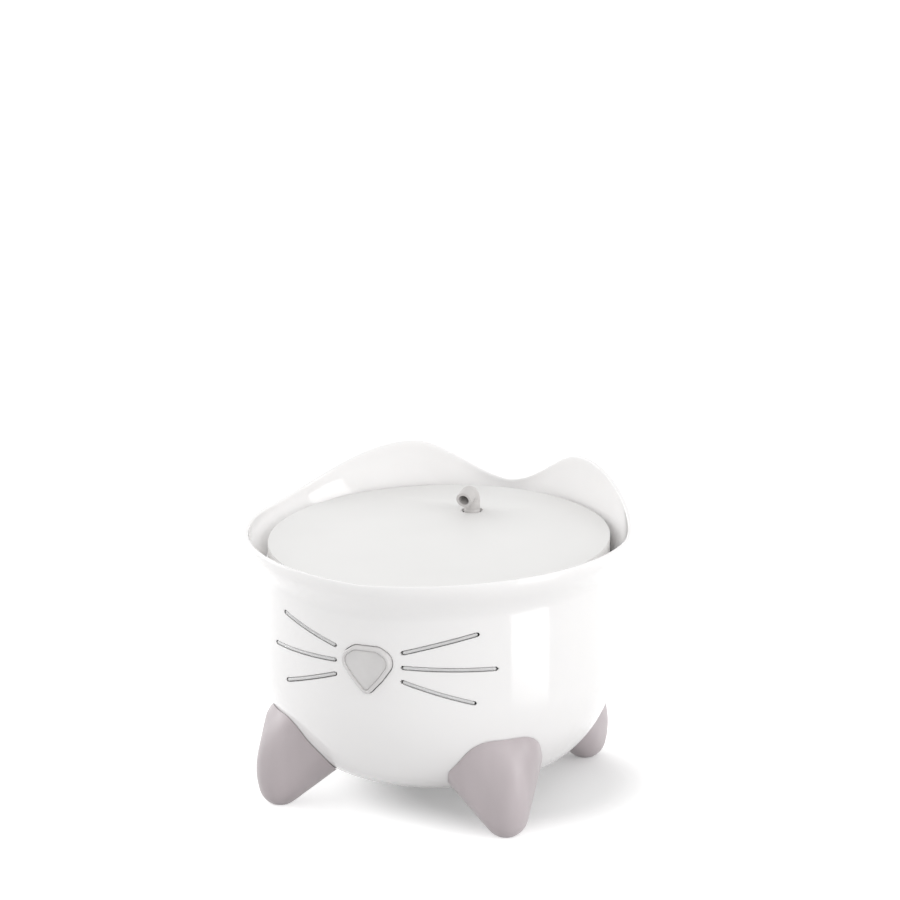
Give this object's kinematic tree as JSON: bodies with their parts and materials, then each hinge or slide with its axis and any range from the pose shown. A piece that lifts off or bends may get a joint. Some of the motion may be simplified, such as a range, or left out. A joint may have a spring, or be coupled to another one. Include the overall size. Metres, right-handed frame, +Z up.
{
  "type": "pet water fountain",
  "caption": "Pet drinking fountain: an eared bowl on feet with a submersible pump, riser tube, filter tray, sloping cover and turning spout.",
  "frame": {"origin": "on the floor, under the middle of the bowl", "axes": "+Z up, the nose and whiskers face -Y, +X is to the right for someone who faces the nose"},
  "size_m": [0.2298, 0.2299, 0.1857],
  "materials": {
    "bowl_white": "smooth glossy moulded plastic, white with a faint warm tint",
    "window_grey": "clear grey moulded plastic, slightly milky",
    "foot_taupe": "soft satin rubber, warm grey",
    "pump_white": "satin moulded plastic, white with a cool tint",
    "rotor_blue": "moulded plastic",
    "magnet_grey": "sintered ferrite",
    "shaft_ceramic": "polished ceramic",
    "stator_copper": "varnished copper winding",
    "lamp_red": "clear red lens",
    "lead_grey": "satin sheath, lilac grey",
    "tube_clear": "clear soft silicone with a faint pink tint",
    "tray_white": "satin moulded plastic, white",
    "seal_silicone": "milky silicone",
    "fleece_white": "thin bonded fleece, white with a blue tint",
    "carbon_grey": "packed charcoal granules",
    "resin_amber": "packed amber beads",
    "cover_white": "fine matt moulded plastic, warm white",
    "spout_white": "smooth moulded plastic, white",
    "spout_grey": "smooth moulded plastic, pale grey"
  },
  "bodies": {
    "bowl": {"bowl_shell": "bowl_white", "nose_lens": "window_grey", "whiskers_left": "window_grey", "whiskers_right": "window_grey", "foot_front_left": "foot_taupe", "foot_front_right": "foot_taupe", "foot_back_left": "foot_taupe", "foot_back_right": "foot_taupe"},
    "pump": {"pump_housing": "pump_white", "intake_cover": "pump_white", "impeller_shaft": "shaft_ceramic", "motor_stator": "stator_copper", "lamp_lens": "lamp_red", "lead_gland": "pump_white", "pump_lead": "lead_grey"},
    "rotor": {"impeller": "rotor_blue", "rotor_magnet": "magnet_grey"},
    "knob": {"speed_knob": "pump_white"},
    "tube": {"riser_tube": "tube_clear"},
    "tray": {"water_tray": "tray_white", "filter_basket": "tray_white", "tray_handle": "tray_white", "nozzle_cap": "tray_white", "nozzle_seal": "seal_silicone"},
    "filter": {"filter_fleece": "fleece_white", "carbon_pads": "carbon_grey", "resin_pads": "resin_amber"},
    "cover": {"top_cover": "cover_white"},
    "spout": {"spout_collar": "spout_white", "spout_seal": "seal_silicone"},
    "elbow": {"spout_elbow": "spout_grey"}
  },
  "joints": [
    {"name": "pump_lift", "type": "slide", "parent": "bowl", "child": "pump", "axis": [0, 0, 1], "range_m": [0, 0.1283]},
    {"name": "rotor_spin", "type": "hinge", "parent": "pump", "child": "rotor", "pos_m": [0, 0.052, 0.0395], "axis": [0.7071, 0.7071, 0], "continuous": true},
    {"name": "knob_turn", "type": "hinge", "parent": "pump", "child": "knob", "pos_m": [-0.02496, 0.02039, 0.042], "axis": [0.7071, 0.7071, 0], "range_deg": [-120, 120]},
    {"name": "tube_lift", "type": "slide", "parent": "pump", "child": "tube", "axis": [0, 0, 1], "range_m": [0, 0.015]},
    {"name": "tray_lift", "type": "slide", "parent": "tube", "child": "tray", "axis": [0, 0, 1], "range_m": [0, 0.016]},
    {"name": "filter_lift", "type": "slide", "parent": "tray", "child": "filter", "axis": [0, 0, 1], "range_m": [0, 0.0555]},
    {"name": "cover_lift", "type": "slide", "parent": "filter", "child": "cover", "axis": [0, 0, 1], "range_m": [0, 0.0158]},
    {"name": "spout_lift", "type": "slide", "parent": "cover", "child": "spout", "axis": [0, 0, 1], "range_m": [0, 0.0284]},
    {"name": "elbow_turn", "type": "hinge", "parent": "spout", "child": "elbow", "pos_m": [0, 0.052, 0.158], "axis": [0, 0, 1], "continuous": true}
  ]
}
